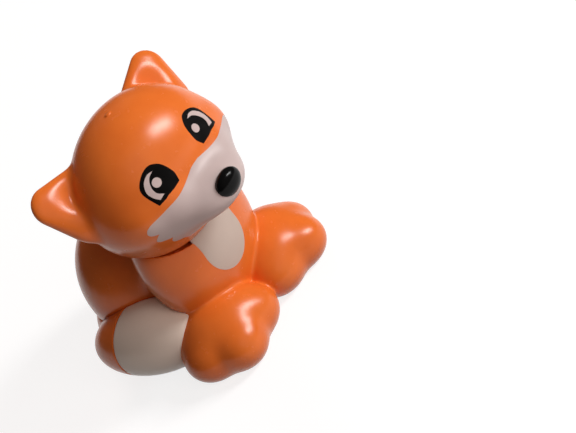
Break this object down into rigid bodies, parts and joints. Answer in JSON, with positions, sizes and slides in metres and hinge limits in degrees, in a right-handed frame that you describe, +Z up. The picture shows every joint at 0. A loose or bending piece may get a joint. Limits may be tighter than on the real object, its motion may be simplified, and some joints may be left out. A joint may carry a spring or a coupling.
{
  "type": "toy fox figure",
  "caption": "Sitting toy fox cub in hard orange and white plastic, with a round head that turns on the neck, broad front paws and a tail curled round one side; stands on a flat base.",
  "frame": {"origin": "on the underside of the base plate, on the fox's middle plane, 10 mm behind the neck axis", "axes": "+Z up, the fox looks along -Y, its left side is +X"},
  "size_m": [0.0419, 0.0495, 0.0497],
  "materials": {
    "orange_plastic": "satin moulded",
    "white_plastic": "satin printed",
    "black_plastic": "gloss",
    "inner_plastic": "plain moulded"
  },
  "bodies": {
    "body": {"body_front_shell": "orange_plastic", "body_rear_shell": "orange_plastic", "chest_patch": "white_plastic", "paw_right": "orange_plastic", "paw_left": "orange_plastic", "tail_root": "orange_plastic", "tail_tip": "white_plastic", "base_plate": "inner_plastic", "neck_post": "inner_plastic"},
    "head": {"head_shell": "orange_plastic", "head_back_cover": "orange_plastic", "muzzle_mask": "white_plastic", "nose": "black_plastic", "eye_right": "black_plastic", "eye_left": "black_plastic", "neck_socket": "inner_plastic"}
  },
  "joints": [
    {"name": "head_turn", "type": "hinge", "parent": "body", "child": "head", "pos_m": [0, -0.01, 0.0225], "axis": [0, 0, 1], "range_deg": [-30, 30]}
  ]
}
